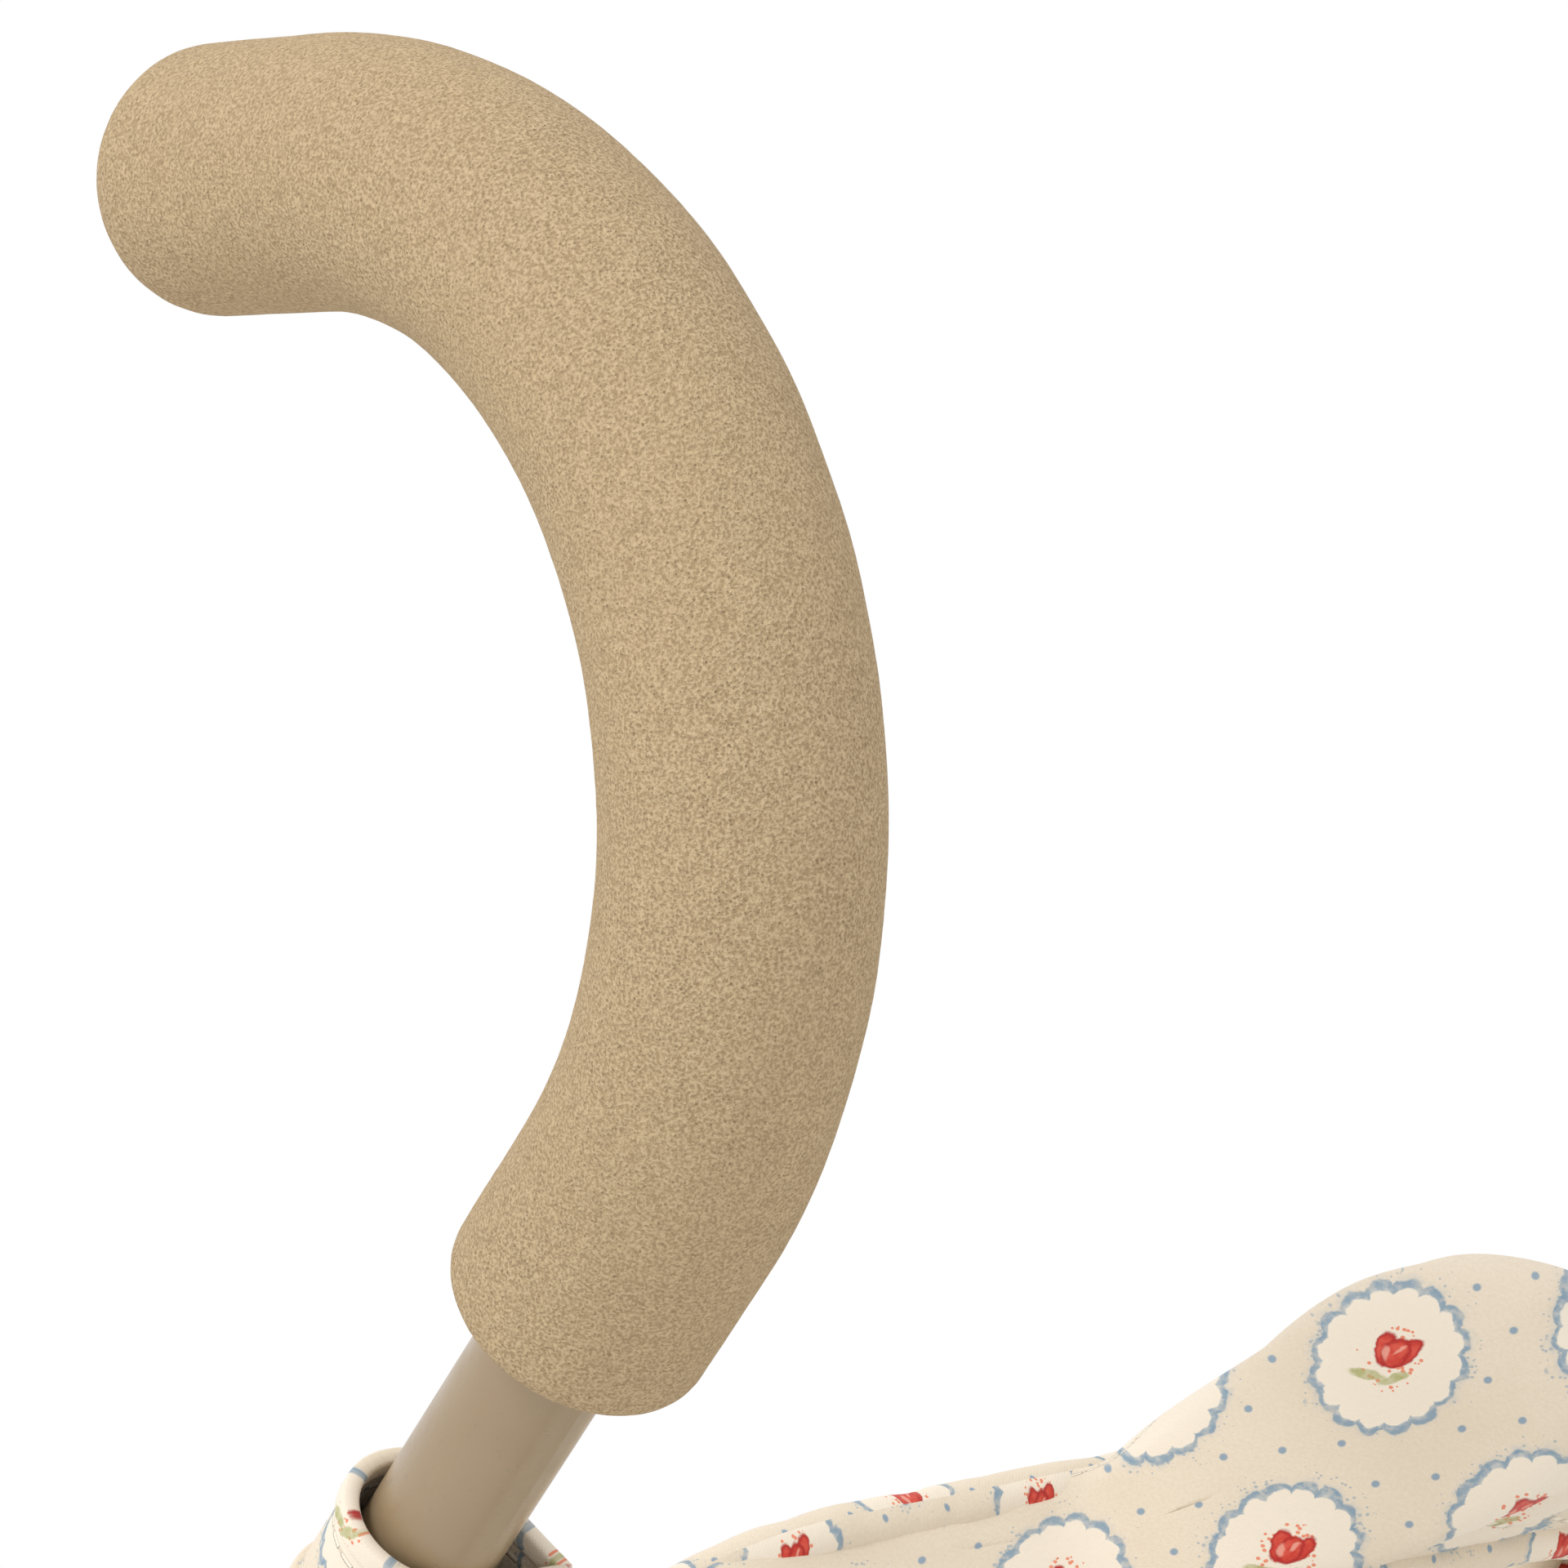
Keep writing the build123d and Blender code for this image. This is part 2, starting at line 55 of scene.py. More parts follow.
PUSH_X = 0.125
PUSH_R = 0.008
LEAN = math.radians(49.3)
TUBE_UP = Vector((0, math.cos(LEAN), math.sin(LEAN)))
TUBE_FRONT = Vector((0, -math.sin(LEAN), math.cos(LEAN)))
PUSH_FOOT = Vector((0, -0.150, 0.088))
CROOK_START = PUSH_FOOT + TUBE_UP * 0.4614
CROOK_R = 0.0648
CROOK_C = CROOK_START + TUBE_FRONT * CROOK_R
CROOK_TURN = math.radians(136)
GRIP_R = 0.01535
GRIP_LOW = 0.0205
GRIP_TIP = 0.0285
LEG_X = 0.108
RAIL_BACK = Vector((0, 0.12132, 0.215))
RAIL_FRONT = Vector((0, -0.110, 0.232))
HOOD_PIVOT = Vector((0, 0.04785, 0.318))
HOOD_ANGLE = math.radians(45)
BOW_SPREAD = math.radians(7.5)
BOW_X = 0.0945
BOW_R = 0.0015
BOW_REACH = 0.076
BOW_CORNER = 0.045
SEAT_FRONT = Vector((0, -0.104, 0.222))
SEAT_REAR = Vector((0, 0.040, 0.212))
BACK_LOW = Vector((0, 0.0435, 0.2165))
BACK_TOP = Vector((0, 0.101, 0.344))


def on_tube(z):
    """A point of the push tube's axis, at x 0."""
    return PUSH_FOOT + TUBE_UP * ((z - PUSH_FOOT.z) / TUBE_UP.z)


def on_rail(y):
    share = (y - RAIL_BACK.y) / (RAIL_FRONT.y - RAIL_BACK.y)
    return RAIL_BACK.lerp(RAIL_FRONT, share)


def mix(a, b, share):
    return a + (b - a) * share


def eased(t):
    t = min(1.0, max(0.0, t))
    return t * t * (3 - 2 * t)


def curve_through(points, t):
    """A smooth line through (x, y) points at even steps of t from 0 to 1."""
    place = min(max(t, 0.0), 1.0) * (len(points) - 1)
    i = min(int(place), len(points) - 2)
    f = place - i
    p = [Vector(points[min(max(k, 0), len(points) - 1)]) for k in range(i - 1, i + 3)]
    return 0.5 * (2 * p[1] + (p[2] - p[0]) * f + (2 * p[0] - 5 * p[1] + 4 * p[2] - p[3]) * f * f
                  + (3 * p[1] - p[0] - 3 * p[2] + p[3]) * f * f * f)


# ---- node materials ----

def dye(red, green, blue):
    """A linear colour from the 0 to 255 values that it shows."""
    return (*[((c / 255 + 0.055) / 1.055) ** 2.4 for c in (red, green, blue)], 1.0)


class Finish:
    """One material and the nodes that it is made from."""

    def __init__(self, name, **surface):
        self.material = bpy.data.materials.new(name)
        self.material.use_nodes = True
        self.tree = self.material.node_tree
        self.surface = self.tree.nodes["Principled BSDF"]
        for socket, value in surface.items():
            self.set(socket.replace("_", " "), value)

    def set(self, socket, value):
        self.give(self.surface.inputs[socket], value)

    def give(self, socket, value):
        if isinstance(value, bpy.types.NodeSocket):
            self.tree.links.new(value, socket)
        elif value is not None:
            socket.default_value = value

    def add(self, kind, *values, **settings):
        node = self.tree.nodes.new("ShaderNode" + kind)
        for name, value in settings.items():
            setattr(node, name, value)
        for socket, value in zip(node.inputs, values):
            self.give(socket, value)
        return node

    def place(self, uv=None):
        if uv:
            return self.add("UVMap", uv_map=uv).outputs[0]
        return self.add("TexCoord").outputs["Object"]

    def calc(self, operation, *values, clamp=False):
        return self.add("Math", *values, operation=operation, use_clamp=clamp).outputs[0]

    def blend(self, share, a, b, kind="MIX"):
        node = self.add("Mix", data_type="RGBA", blend_type=kind)
        self.give(node.inputs["Factor"], share)
        self.give(node.inputs["A"], a)
        self.give(node.inputs["B"], b)
        return next(o for o in node.outputs if o.type == "RGBA")

    def band(self, value, low, high, to_low=0.0, to_high=1.0):
        """Value carried smoothly from one range to another, and held at its ends."""
        node = self.add("MapRange", value, low, high, to_low, to_high)
        node.interpolation_type = "SMOOTHSTEP"
        return node.outputs[0]

    def clouds(self, place, scale, detail=2.0, roughness=0.5):
        node = self.add("TexNoise")
        self.give(node.inputs["Vector"], place)
        self.give(node.inputs["Scale"], scale)
        self.give(node.inputs["Detail"], detail)
        self.give(node.inputs["Roughness"], roughness)
        return node.outputs[0]

    def cells(self, place, scale, feature="F1", output="Distance", jitter=1.0):
        node = self.add("TexVoronoi", feature=feature)
        self.give(node.inputs["Vector"], place)
        self.give(node.inputs["Scale"], scale)
        self.give(node.inputs["Randomness"], jitter)
        return node.outputs[output]

    def bump(self, height, distance, strength=1.0, over=None):
        node = self.add("Bump")
        self.give(node.inputs["Strength"], strength)
        self.give(node.inputs["Distance"], distance)
        self.give(node.inputs["Height"], height)
        if over is not None:
            self.give(node.inputs["Normal"], over)
        return node.outputs[0]


def foam_finish():
    """Fine closed-cell foam: crumbly grain, paler on its crests and darker in its hollows, partly random tone
    and partly painted shade, with painted shade in its fine pores and in a few open pits.
    """
    f = Finish("foam_grain", Roughness=0.92, Specular_IOR_Level=0.15)
    at = f.place()
    grain = f.clouds(at, 2600, 2.0, 0.6)
    fine = f.clouds(at, 4200, 1.0, 0.5)
    pores = f.cells(at, 1700)
    broad = f.clouds(at, 34, 2.0)
    mottle = f.clouds(at, 420, 2.0)
    # tone follows the grain's height, the same noise as the bump below: paler on the crests, darker in the
    # hollows, partly random tone and partly painted shade
    colour = f.blend(f.band(grain, 0.34, 0.66), dye(160, 136, 104), dye(200, 177, 142))
    # painted shade in the fine pores, which are also sunk into the height below
    colour = f.blend(f.band(pores, 0.34, 0.05, 0.0, 0.5), colour, dye(124, 101, 74))
    colour = f.blend(f.band(broad, 0.3, 0.7, 0.0, 0.16), colour, dye(186, 162, 124))
    colour = f.blend(f.band(mottle, 0.35, 0.7, 0.0, 0.12), colour, dye(150, 129, 102))
    # a few open pits, sunk into the height below and darkened with painted shade
    shaded_pit = f.band(f.cells(at, 62), 0.0, 0.022, 1.0, 0.0)
    colour = f.blend(f.calc("MULTIPLY", shaded_pit, 0.55), colour, dye(112, 90, 62))
    f.set("Base Color", colour)
    height = f.calc("ADD", f.calc("MULTIPLY", grain, 0.8), f.calc("MULTIPLY", fine, 0.2))
    height = f.calc("SUBTRACT", height, f.band(pores, 0.35, 0.0, 0.0, 0.22))
    height = f.calc("SUBTRACT", height, f.calc("MULTIPLY", shaded_pit, 0.6))
    f.set("Normal", f.bump(height, 0.0006, 0.9))
    return f.material


def paint_finish():
    """Powder coat: even colour, a slight orange peel and faint rubbed streaks."""
    f = Finish("frame_powder_coat", Roughness=0.3, Specular_IOR_Level=0.5, Coat_Weight=0.25,
               Coat_Roughness=0.18)
    at = f.place()
    broad = f.clouds(at, 45, 3.0)
    specks = f.clouds(at, 900, 2.0)
    colour = f.blend(f.band(broad, 0.3, 0.7), dye(147, 126, 97), dye(153, 132, 103))
    colour = f.blend(f.band(specks, 0.62, 0.72, 0.0, 0.25), colour, dye(132, 114, 90))
    f.set("Base Color", colour)
    rubbed = f.clouds(at, 160, 4.0, 0.6)
    f.set("Roughness", f.band(rubbed, 0.3, 0.75, 0.26, 0.42))
    peel = f.clouds(at, 420, 1.5)
    f.set("Normal", f.bump(peel, 0.00008, 0.5))
    return f.material


def moulded_finish():
    """Moulded nylon with a fine spark-eroded texture."""
    f = Finish("moulded_nylon", Specular_IOR_Level=0.4)
    at = f.place()
    grain = f.clouds(at, 1600, 2.0)
    broad = f.clouds(at, 60, 2.0)
    f.set("Base Color", f.blend(f.band(broad, 0.3, 0.7), dye(120, 106, 86), dye(130, 116, 95)))
    f.set("Roughness", f.band(grain, 0.3, 0.7, 0.45, 0.62))
    f.set("Normal", f.bump(grain, 0.00006, 0.6))
    return f.material


def rim_finish():
    f = Finish("rim_cream_plastic", Specular_IOR_Level=0.5, Coat_Weight=0.1, Coat_Roughness=0.3)
    at = f.place()
    broad = f.clouds(at, 70, 3.0)
    scuffs = f.clouds(at, 500, 4.0, 0.7)
    colour = f.blend(f.band(broad, 0.3, 0.7), dye(214, 202, 180), dye(221, 210, 190))
    f.set("Base Color", f.blend(f.band(scuffs, 0.6, 0.75, 0.0, 0.3), colour, dye(184, 170, 146)))
    f.set("Roughness", f.band(scuffs, 0.3, 0.7, 0.32, 0.5))
    f.set("Normal", f.bump(broad, 0.0002, 0.2))
    return f.material


def tyre_finish():
    """Soft dark rubber with dust in its grain."""
    f = Finish("tyre_rubber", Specular_IOR_Level=0.3)
    at = f.place()
    grain = f.clouds(at, 1300, 3.0, 0.6)
    dust = f.clouds(at, 90, 4.0, 0.6)
    colour = f.blend(f.band(grain, 0.3, 0.7), dye(48, 45, 42), dye(62, 58, 54))
    f.set("Base Color", f.blend(f.band(dust, 0.45, 0.8, 0.0, 0.35), colour, dye(112, 105, 96)))
    f.set("Roughness", f.band(dust, 0.3, 0.7, 0.62, 0.85))
    f.set("Normal", f.bump(grain, 0.00012, 0.6))
    return f.material


def steel_finish():
    """Zinc-plated steel with fine turning marks."""
    f = Finish("rivet_zinc", Metallic=1.0)
    at = f.place()
    marks = f.clouds(at, 700, 4.0, 0.7)
    broad = f.clouds(at, 120, 2.0)
    f.set("Base Color", f.blend(f.band(broad, 0.3, 0.7), dye(176, 174, 170), dye(196, 194, 190)))
    f.set("Roughness", f.band(marks, 0.3, 0.7, 0.28, 0.46))
    f.set("Normal", f.bump(marks, 0.00003, 0.5))
    return f.material


# the cotton's print: medallions in half-drop columns
COLUMN = 0.0195
DROP = 0.028
MEDALLION = (0.0069, 0.0094)
SCALLOPS = 16


def blot(f, at, centre, size, turn=0.0):
    """How far a point is from an oval's middle, 1 at its edge."""
    node = f.add("Mapping", vector_type="TEXTURE")
    f.give(node.inputs["Vector"], at)
    f.give(node.inputs["Location"], (centre[0] * MM, centre[1] * MM, 0))
    f.give(node.inputs["Rotation"], (0, 0, math.radians(turn)))
    f.give(node.inputs["Scale"], (size[0] * MM, size[1] * MM, 1))
    return f.add("VectorMath", node.outputs[0], operation="LENGTH").outputs["Value"]


def inked(f, distance, soft=0.18):
    """Cover of a printed blot, with a soft edge."""
    return f.band(distance, 1.0 + soft, 1.0 - soft)


def half_drop(f, u, v, column, drop):
    """(across, along) from the middle of the nearest place of a half-drop repeat."""
    count = f.calc("ROUND", f.calc("DIVIDE", u, column))
    across = f.calc("SUBTRACT", u, f.calc("MULTIPLY", count, column))
    odd = f.calc("MULTIPLY", f.calc("FLOORED_MODULO", count, 2.0), 0.5)
    row = f.calc("SUBTRACT", f.calc("DIVIDE", v, drop), odd)
    along = f.calc("MULTIPLY", f.calc("SUBTRACT", row, f.calc("ROUND", row)), drop)
    return across, along


def cotton_finish(name, shift=(0.0, 0.0)):
    """Cream plain-weave cotton, printed with small tulips in scalloped medallions."""
    f = Finish(name, Roughness=0.85, Specular_IOR_Level=0.2, Sheen_Weight=0.12, Sheen_Roughness=0.5)
    cloth = f.place(uv="Cloth")
    wobble = f.add("TexNoise")
    f.give(wobble.inputs["Vector"], cloth)
    f.give(wobble.inputs["Scale"], 700.0)
    hand = f.add("VectorMath", wobble.outputs["Color"], (0.5, 0.5, 0.5), operation="SUBTRACT").outputs[0]
    hand = f.add("VectorMath", hand, operation="SCALE")
    hand.inputs["Scale"].default_value = 0.0009
    drawn = f.add("VectorMath", cloth, hand.outputs[0], operation="ADD").outputs[0]
    drawn = f.add("VectorMath", drawn, (shift[0], shift[1], 0), operation="ADD").outputs[0]
    parts = f.add("SeparateXYZ", drawn)
    across, along = half_drop(f, parts.outputs[0], parts.outputs[1], COLUMN, DROP)
    at = f.add("CombineXYZ", across, along, 0.0).outputs[0]

    # the medallion's scalloped edge
    turn = f.calc("ARCTAN2", f.calc("DIVIDE", along, MEDALLION[1]), f.calc("DIVIDE", across, MEDALLION[0]))
    lobe = f.calc("ABSOLUTE", f.calc("SINE", f.calc("MULTIPLY", turn, SCALLOPS / 2)))
    edge = f.calc("MULTIPLY_ADD", f.calc("POWER", lobe, 0.7), 0.10, 0.93)
    oval = blot(f, at, (0, 0), (MEDALLION[0] / MM, MEDALLION[1] / MM))
    out = f.calc("MULTIPLY", f.calc("SUBTRACT", oval, edge), 8.0)     # about millimetres outside the edge
    weave_place = cloth
    fibre = f.clouds(weave_place, 2400, 2.0)
    broad = f.clouds(weave_place, 38, 3.0)
    ink = f.clouds(weave_place, 900, 2.0)

    colour = f.blend(f.band(broad, 0.3, 0.7), dye(217, 203, 182), dye(224, 211, 191))
    colour = f.blend(f.band(fibre, 0.35, 0.65, 0.0, 0.20), colour, dye(202, 187, 164))
    colour = f.blend(f.band(out, 0.1, -0.3, 0.0, 0.85), colour, dye(232, 221, 204))

    # blue haze and stipple outside the edge, then the brushed outline itself
    blue = dye(118, 146, 166)
    outside = f.band(out, -0.1, 0.1)
    patchy = f.band(f.clouds(weave_place, 170, 2.0), 0.35, 0.62, 0.35, 1.0)
    haze = f.calc("MULTIPLY", f.band(out, 1.5, 0.0, 0.0, 0.5), f.calc("MULTIPLY", outside, patchy))
    colour = f.blend(f.calc("MULTIPLY", haze, f.band(ink, 0.35, 0.65, 0.4, 1.0)), colour, dye(158, 174, 184))
    reach = f.calc("MULTIPLY", f.band(out, 4.2, 0.2, 0.0, 0.36), patchy)
    spray = f.cells(weave_place, 1500)
    stipple = f.calc("MULTIPLY", f.calc("LESS_THAN", spray, reach), outside)
    colour = f.blend(f.calc("MULTIPLY", stipple, 0.6), colour, dye(140, 158, 170))
    stroke = f.calc("ABSOLUTE", out)
    wide = f.band(f.clouds(weave_place, 240, 2.0), 0.3, 0.7, 0.28, 0.62)
    line = f.band(f.calc("SUBTRACT", stroke, wide), 0.12, -0.16)
    colour = f.blend(f.calc("MULTIPLY", line, f.band(ink, 0.3, 0.6, 0.45, 0.85)), colour, blue)

    # orange stipple round the flower
    round_bloom = blot(f, at, (0.1, 0.3), (3.6, 4.9))
    spatter = f.cells(weave_place, 1450)
    near = f.calc("MULTIPLY", f.band(round_bloom, 1.02, 0.8), 0.33)
    dots = f.calc("LESS_THAN", spatter, near)
    colour = f.blend(f.calc("MULTIPLY", dots, 0.85), colour, dye(222, 118, 82))

    # leaves, stem and the bud's petals
    leaf = dye(168, 168, 112)
    for centre, size, lean in ((-1.35, -2.75), (1.75, 0.62), 14), ((1.25, -2.15), (1.7, 0.55), 48):
        cover = inked(f, blot(f, at, centre, size, lean), 0.22)
        colour = f.blend(f.calc("MULTIPLY", cover, f.band(ink, 0.3, 0.7, 0.6, 0.95)), colour, leaf)
    petals = [((-0.75, 1.05), (1.05, 2.25), 10), ((1.15, 1.35), (1.0, 2.35), -20),
              ((0.3, 0.95), (1.25, 2.0), -6)]
    for i, (centre, size, lean) in enumerate(petals):
        r = blot(f, at, centre, size, lean)
        red = f.blend(f.band(ink, 0.35, 0.65), dye(196, 62, 50), dye(208, 84, 68))
        red = f.blend(f.band(r, 0.62, 0.95), red, dye(168, 40, 38))
        colour = f.blend(inked(f, r, 0.12), colour, red)
    for centre, size, lean in ((-0.55, 0.55), (0.36, 0.85), 12), ((0.55, 1.5), (0.22, 0.75), -22):
        colour = f.blend(f.calc("MULTIPLY", inked(f, blot(f, at, centre, size, lean), 0.3), 0.7),
                         colour, dye(232, 168, 150))

    # small dots on the ground between the medallions
    loose = f.add("SeparateXYZ", cloth)
    dot_u, dot_v = half_drop(f, loose.outputs[0], loose.outputs[1], 0.0049, 0.0068)
    dot = blot(f, f.add("CombineXYZ", dot_u, dot_v, 0.0).outputs[0], (0.1, 0), (0.40, 0.46))
    ground = f.calc("MULTIPLY", inked(f, dot, 0.3), f.band(out, 1.2, 2.2))
    colour = f.blend(f.calc("MULTIPLY", ground, 0.8), colour, dye(108, 142, 168))

    # sewn edges: a line of stitches beside each hem, with painted shade on the thread line between the
    # stitches
    seam = f.add("SeparateXYZ", f.place(uv="Seam"))
    along_seam, from_edge = seam.outputs[0], seam.outputs[1]
    thread = f.band(f.calc("ABSOLUTE", f.calc("SUBTRACT", from_edge, 0.0045)), 0.00038, 0.00018)
    step = f.calc("FRACT", f.calc("DIVIDE", along_seam, 0.0026))
    stitch = f.calc("MULTIPLY", thread, f.band(f.calc("ABSOLUTE", f.calc("SUBTRACT", step, 0.5)), 0.40, 0.32))
    colour = f.blend(f.calc("MULTIPLY", stitch, 0.75), colour, dye(236, 226, 208))
    # painted shade in the dimples of the thread line between the raised stitches
    colour = f.blend(f.calc("MULTIPLY", f.calc("SUBTRACT", thread, stitch), 0.35), colour, dye(170, 152, 126))
    f.set("Base Color", colour)

    # plain weave, slubs and the stitches standing on it
    parts = f.add("SeparateXYZ", cloth)
    warp = f.calc("SINE", f.calc("MULTIPLY", parts.outputs[0], math.tau / 0.00050))
    weft = f.calc("SINE", f.calc("MULTIPLY", parts.outputs[1], math.tau / 0.00050))
    weave = f.calc("MULTIPLY", warp, weft)
    height = f.calc("ADD", f.calc("MULTIPLY", weave, 0.30), fibre)
    cloth_bump = f.bump(height, 0.00010, 0.45)
    crease = f.clouds(weave_place, 95, 3.0, 0.55)
    cloth_bump = f.bump(crease, 0.0011, 0.35, over=cloth_bump)
    f.set("Normal", f.bump(stitch, 0.0004, 0.8, over=cloth_bump))
    return f.material


FOAM = foam_finish()
PAINT = paint_finish()
MOULDED = moulded_finish()
RIM = rim_finish()
TYRE = tyre_finish()
STEEL = steel_finish()
HOOD_COTTON = cotton_finish("hood_printed_cotton", (0.0, 0.0))
STRAP_COTTON = cotton_finish("strap_printed_cotton", (0.004, 0.006))

NODE_FINISHES = {
    "push_tube": PAINT, "rear_leg": PAINT, "seat_rail": PAINT, "brace_bar": PAINT,
    "grip_plug": MOULDED, "leg_bracket": MOULDED, "rail_tee": MOULDED, "rail_cap": MOULDED,
    "slider_left": MOULDED, "slider_right": MOULDED, "rear_housing": MOULDED, "castor_socket": MOULDED,
    "castor_fork": MOULDED, "hood_clip": MOULDED, "hood_hub": MOULDED,
    "frame_rivets": STEEL, "slider_pin": STEEL, "castor_pin": STEEL, "brace_rivet": STEEL,
    "front_axle": STEEL, "rear_axle": STEEL, "front_rims": RIM, "rear_rims": RIM,
    "front_tyres": TYRE, "rear_tyres": TYRE,
}
for node_name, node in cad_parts.items():
    for start, material in NODE_FINISHES.items():
        if node_name.startswith(start):
            for place in node.material_slots:
                place.material = material


# ---- making pieces ----

def kept_faces_out(bm):
    bmesh.ops.recalc_face_normals(bm, faces=bm.faces)


def as_piece(name, bm, material, body):
    """The finished mesh as an object that rides on a body."""
    mesh = bpy.data.meshes.new(name)
    bm.to_mesh(mesh)
    bm.free()
    mesh.materials.append(material)
    for face in mesh.polygons:
        face.use_smooth = True
    piece = bpy.data.objects.new(name, mesh)
    scene.collection.objects.link(piece)
    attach(piece, body)
    return piece


def ring_of(bm, centre, facing, radius, steps):
    """A ring of edges square to a direction."""
    turn = facing.to_track_quat("Z", "Y").to_matrix().to_4x4()
    made = bmesh.ops.create_circle(bm, segments=steps, radius=radius,
                                   matrix=Matrix.Translation(centre) @ turn)
    return list({edge for vert in made["verts"] for edge in vert.link_edges})


def drawn_on(bm, ring, move, scale=1.0):
    """Extrudes a ring by a move, then scales it about its own middle."""
    made = bmesh.ops.extrude_edge_only(bm, edges=ring)["geom"]
    verts = [g for g in made if isinstance(g, bmesh.types.BMVert)]
    bmesh.ops.translate(bm, vec=move, verts=verts)
    middle = sum((v.co for v in verts), Vector()) / len(verts)
    bmesh.ops.scale(bm, vec=(scale, scale, scale), space=Matrix.Translation(-middle), verts=verts)
    return [g for g in made if isinstance(g, bmesh.types.BMEdge) and g.is_boundary]


def bent_on(bm, ring, centre, axis, angle, steps):
    """Carries a ring round an arc."""
    verts = list({v for edge in ring for v in edge.verts})
    made = bmesh.ops.spin(bm, geom=verts + ring, cent=centre, axis=axis, angle=angle, steps=steps)
    return [g for g in made["geom_last"] if isinstance(g, bmesh.types.BMEdge)]


def foam_grip(side, x, body):
    """Foam sleeve round the crook, open at its lower end and closed round the tip."""
    bm = bmesh.new()
    start = Vector((x, 0, 0)) + CROOK_START - TUBE_UP * GRIP_LOW
    inner, low_round, tip_round = PUSH_R + 0.00003, 0.003, 0.0088
    radius = inner
    ring = ring_of(bm, start + TUBE_UP * 0.004, TUBE_UP, radius, 96)

    def to(new_radius, move):
        nonlocal ring, radius
        ring = drawn_on(bm, ring, move, new_radius / radius)
        radius = new_radius

    to(inner, -TUBE_UP * 0.004)
    for share in (0.35, 0.7, 1.0):
        to(mix(inner, GRIP_R - low_round, share), Vector())
    last = 0.0
    for step in range(1, 7):
        a = math.radians(90 * step / 6)
        rise = low_round * (1 - math.cos(a))
        to(GRIP_R - low_round + low_round * math.sin(a), TUBE_UP * (rise - last))
        last = rise
    straight = GRIP_LOW - low_round
    for step in range(17):
        to(GRIP_R, TUBE_UP * (straight / 17))
    centre = Vector((x, 0, 0)) + CROOK_C
    ring = bent_on(bm, ring, centre, (1, 0, 0), CROOK_TURN, 150)
    tip_dir = Matrix.Rotation(CROOK_TURN, 3, "X") @ TUBE_UP
    straight = GRIP_TIP - tip_round
    for step in range(18):
        to(GRIP_R, tip_dir * (straight / 18))
    last = 0.0
    for step in range(1, 11):
        a = math.radians(90 * step / 10)
        out = tip_round * math.sin(a)
        to(GRIP_R - tip_round + tip_round * math.cos(a), tip_dir * (out - last))
        last = out
    for share in (0.75, 0.5, 0.25):
        to((GRIP_R - tip_round) * share, tip_dir * 0.0001)
    bmesh.ops.edgeloop_fill(bm, edges=ring)
    kept_faces_out(bm)
    bm.normal_update()
    for v in bm.verts:
        lumps = noise.noise(v.co * 75) * 0.00016 + noise.noise(v.co * 700 + Vector((3, 1, 7))) * 0.00003
        v.co += v.normal * lumps
    piece = as_piece(f"foam_grip_{side}", bm, FOAM, body)
    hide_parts(f"grip_{side}")
    return piece


def cloth_runs(corners, spots, columns, rows):
    """Lengths measured on the cloth: across from its middle, and along from its lower edge."""
    grid = {(round(c[0] * columns), round(c[1] * rows)): v for v, c in corners.items()}
    run_u, run_v = {}, {}
    widths, lengths = [], []
    for row in range(rows + 1):
        total = [0.0]
        for k in range(columns):
            total.append(total[-1] + (spots[grid[k + 1, row]] - spots[grid[k, row]]).length)
        middle = total[columns // 2]
        widths.append(total[-1])
        for k in range(columns + 1):
            run_u[grid[k, row]] = total[k] - middle
    for k in range(columns + 1):
        total = 0.0
        run_v[grid[k, 0]] = 0.0
        for row in range(rows):
            total += (spots[grid[k, row + 1]] - spots[grid[k, row]]).length
            run_v[grid[k, row + 1]] = total
        lengths.append(total)
    return run_u, run_v, sum(widths) / len(widths), sum(lengths) / len(lengths)


def cloth_grid(name, columns, rows, place, material, body, thick, closed=False, hems=(), flat_shift=(0, 0),
               print_at=None):
    """A grid of cloth put in place by a function of (across, along), each 0 to 1."""
    bm = bmesh.new()
    bmesh.ops.create_grid(bm, x_segments=columns, y_segments=rows, size=0.5)
    corners = {v: (v.co.x + 0.5, v.co.y + 0.5) for v in bm.verts}
    spots = {v: place(*c) for v, c in corners.items()}
    run_u, run_v, width, length = cloth_runs(corners, spots, columns, rows)
    if print_at:
        for v in bm.verts:
            run_u[v], run_v[v] = print_at(spots[v])
    cloth_map = bm.loops.layers.uv.new("Cloth")
    seam_map = bm.loops.layers.uv.new("Seam")
    for face in bm.faces:
        for loop in face.loops:
            u, v = corners[loop.vert]
            loop[cloth_map].uv = (run_u[loop.vert] + flat_shift[0], run_v[loop.vert] + flat_shift[1])
            edges = [(v * length, u * width)] if "low" in hems else []
            if "high" in hems:
                edges.append(((1 - v) * length, u * width))
            if "sides" in hems:
                edges.append((min(u, 1 - u) * width, v * length))
            from_edge, along = min(edges) if edges else (1.0, 0.0)
            loop[seam_map].uv = (along, from_edge)
    for v, spot in spots.items():
        v.co = spot
    if closed:
        bmesh.ops.remove_doubles(bm, verts=bm.verts, dist=0.00005)
    piece = as_piece(name, bm, material, body)
    shell = piece.modifiers.new("thickness", "SOLIDIFY")
    shell.thickness = thick
    shell.offset = 0.0
    shell.use_rim = True
    piece["cut"] = (width, length)
    print("cloth", name, "%.0f x %.0f mm" % (width * 1000, length * 1000))
    return piece


def rounded(piece, levels=1):
    smooth = piece.modifiers.new("rounding", "SUBSURF")
    smooth.levels = smooth.render_levels = levels
    return piece


def declared(piece, with_pieces=()):
    tuple(piece["cut"])
    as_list(with_pieces)
    return piece


